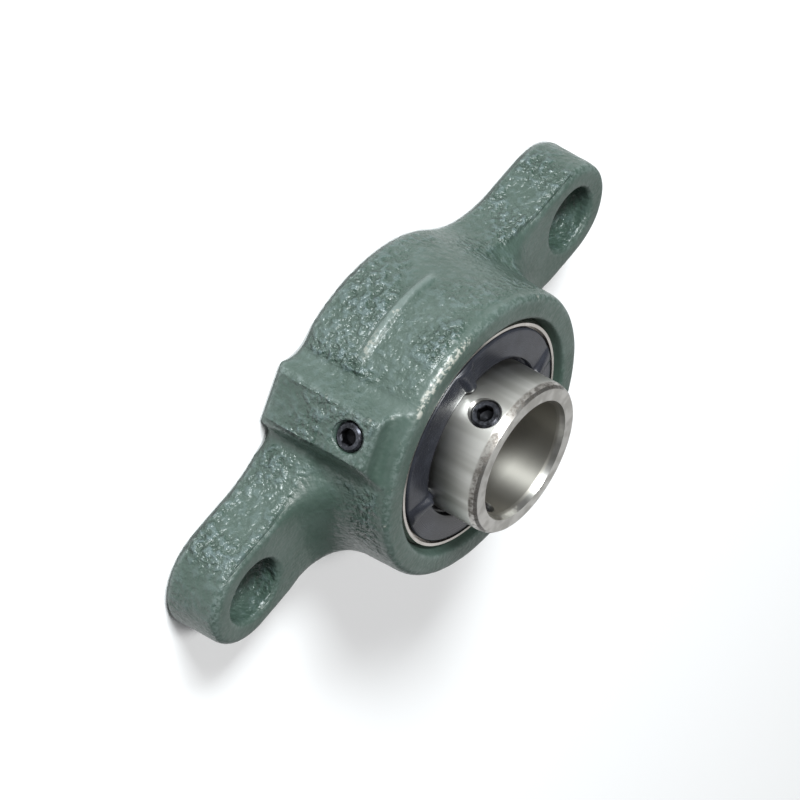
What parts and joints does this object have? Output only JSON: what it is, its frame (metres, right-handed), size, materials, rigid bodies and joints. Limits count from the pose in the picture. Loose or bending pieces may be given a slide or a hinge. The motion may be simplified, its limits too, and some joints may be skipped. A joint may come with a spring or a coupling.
{
  "type": "two-bolt flange bearing",
  "caption": "Cast two-bolt flange housing that holds a self-aligning ball bearing insert for a shaft fixed by set screws.",
  "frame": {"origin": "where the shaft's axis meets the mounting face", "axes": "+Z along the shaft from the mounting face to the nose of the inner ring, +X through a bolt hole, +Y to the side with the parting ridge"},
  "size_m": [0.1306, 0.0649, 0.0395],
  "materials": {
    "housing_paint": "grey-green gloss enamel over a rough sand-cast iron surface",
    "race_steel": "fine-ground bearing steel",
    "nose_steel": "ground steel with a brown, worn edge chamfer",
    "ball_steel": "polished bearing steel",
    "cage_steel": "pressed strip steel",
    "seal_steel": "zinc-plated sheet steel",
    "slinger_steel": "blue-black coated sheet steel, satin",
    "black_oxide": "black oxide screw finish, slightly oily",
    "seal_rubber": "matte black nitrile rubber"
  },
  "bodies": {
    "housing": {"housing": "housing_paint"},
    "grease_plug": {"grease_plug": "black_oxide"},
    "bearing_shell": {"outer_ring": "race_steel", "front_seal_shell": "seal_steel", "front_seal_lip": "seal_rubber", "rear_seal_shell": "seal_steel", "rear_seal_lip": "seal_rubber"},
    "shaft_ring": {"inner_ring": "nose_steel", "front_slinger": "slinger_steel", "rear_slinger": "slinger_steel"},
    "cage": {"cage_front": "cage_steel", "cage_rear": "cage_steel", "cage_rivets": "cage_steel"},
    "ball_1": {"ball_1": "ball_steel"},
    "ball_2": {"ball_2": "ball_steel"},
    "ball_3": {"ball_3": "ball_steel"},
    "ball_4": {"ball_4": "ball_steel"},
    "ball_5": {"ball_5": "ball_steel"},
    "ball_6": {"ball_6": "ball_steel"},
    "ball_7": {"ball_7": "ball_steel"},
    "ball_8": {"ball_8": "ball_steel"},
    "ball_9": {"ball_9": "ball_steel"},
    "set_screw_1": {"set_screw_1": "black_oxide"},
    "set_screw_2": {"set_screw_2": "black_oxide"}
  },
  "joints": [
    {"name": "align_tilt", "type": "hinge", "parent": "housing", "child": "bearing_shell", "pos_m": [0, 0, 0.0197], "axis": [1, 0, 0], "range_deg": [-2, 2]},
    {"name": "shaft_spin", "type": "hinge", "parent": "bearing_shell", "child": "shaft_ring", "pos_m": [0, 0, 0.0197], "axis": [0, 0, 1], "continuous": true},
    {"name": "cage_orbit", "type": "hinge", "parent": "bearing_shell", "child": "cage", "pos_m": [0, 0, 0.0197], "axis": [0, 0, 1], "continuous": true},
    {"name": "ball_1_roll", "type": "hinge", "parent": "cage", "child": "ball_1", "pos_m": [0.01925, 0, 0.0197], "axis": [0, 0, 1], "continuous": true},
    {"name": "ball_2_roll", "type": "hinge", "parent": "cage", "child": "ball_2", "pos_m": [0.01475, 0.01237, 0.0197], "axis": [0, 0, 1], "continuous": true},
    {"name": "ball_3_roll", "type": "hinge", "parent": "cage", "child": "ball_3", "pos_m": [0.00334, 0.01896, 0.0197], "axis": [0, 0, 1], "continuous": true},
    {"name": "ball_4_roll", "type": "hinge", "parent": "cage", "child": "ball_4", "pos_m": [-0.00963, 0.01667, 0.0197], "axis": [0, 0, 1], "continuous": true},
    {"name": "ball_5_roll", "type": "hinge", "parent": "cage", "child": "ball_5", "pos_m": [-0.01809, 0.00658, 0.0197], "axis": [0, 0, 1], "continuous": true},
    {"name": "ball_6_roll", "type": "hinge", "parent": "cage", "child": "ball_6", "pos_m": [-0.01809, -0.00658, 0.0197], "axis": [0, 0, 1], "continuous": true},
    {"name": "ball_7_roll", "type": "hinge", "parent": "cage", "child": "ball_7", "pos_m": [-0.00963, -0.01667, 0.0197], "axis": [0, 0, 1], "continuous": true},
    {"name": "ball_8_roll", "type": "hinge", "parent": "cage", "child": "ball_8", "pos_m": [0.00334, -0.01896, 0.0197], "axis": [0, 0, 1], "continuous": true},
    {"name": "ball_9_roll", "type": "hinge", "parent": "cage", "child": "ball_9", "pos_m": [0.01475, -0.01237, 0.0197], "axis": [0, 0, 1], "continuous": true},
    {"name": "set_screw_1_drive", "type": "slide", "parent": "shaft_ring", "child": "set_screw_1", "axis": [0.1668, -0.986, 0], "range_m": [-0.0015, 0.0015]},
    {"name": "set_screw_2_drive", "type": "slide", "parent": "shaft_ring", "child": "set_screw_2", "axis": [0.7705, 0.6374, 0], "range_m": [-0.0015, 0.0015]},
    {"name": "plug_out", "type": "slide", "parent": "housing", "child": "grease_plug", "axis": [-0.7071, 0.7071, 0], "range_m": [0, 0.012]}
  ],
  "couplings": [
    {"joint": "cage_orbit", "follows": "shaft_spin", "ratio": 0.39692},
    {"joint": "ball_1_roll", "follows": "shaft_spin", "ratio": -2.3222},
    {"joint": "ball_2_roll", "follows": "shaft_spin", "ratio": -2.3222},
    {"joint": "ball_3_roll", "follows": "shaft_spin", "ratio": -2.3222},
    {"joint": "ball_4_roll", "follows": "shaft_spin", "ratio": -2.3222},
    {"joint": "ball_5_roll", "follows": "shaft_spin", "ratio": -2.3222},
    {"joint": "ball_6_roll", "follows": "shaft_spin", "ratio": -2.3222},
    {"joint": "ball_7_roll", "follows": "shaft_spin", "ratio": -2.3222},
    {"joint": "ball_8_roll", "follows": "shaft_spin", "ratio": -2.3222},
    {"joint": "ball_9_roll", "follows": "shaft_spin", "ratio": -2.3222}
  ]
}
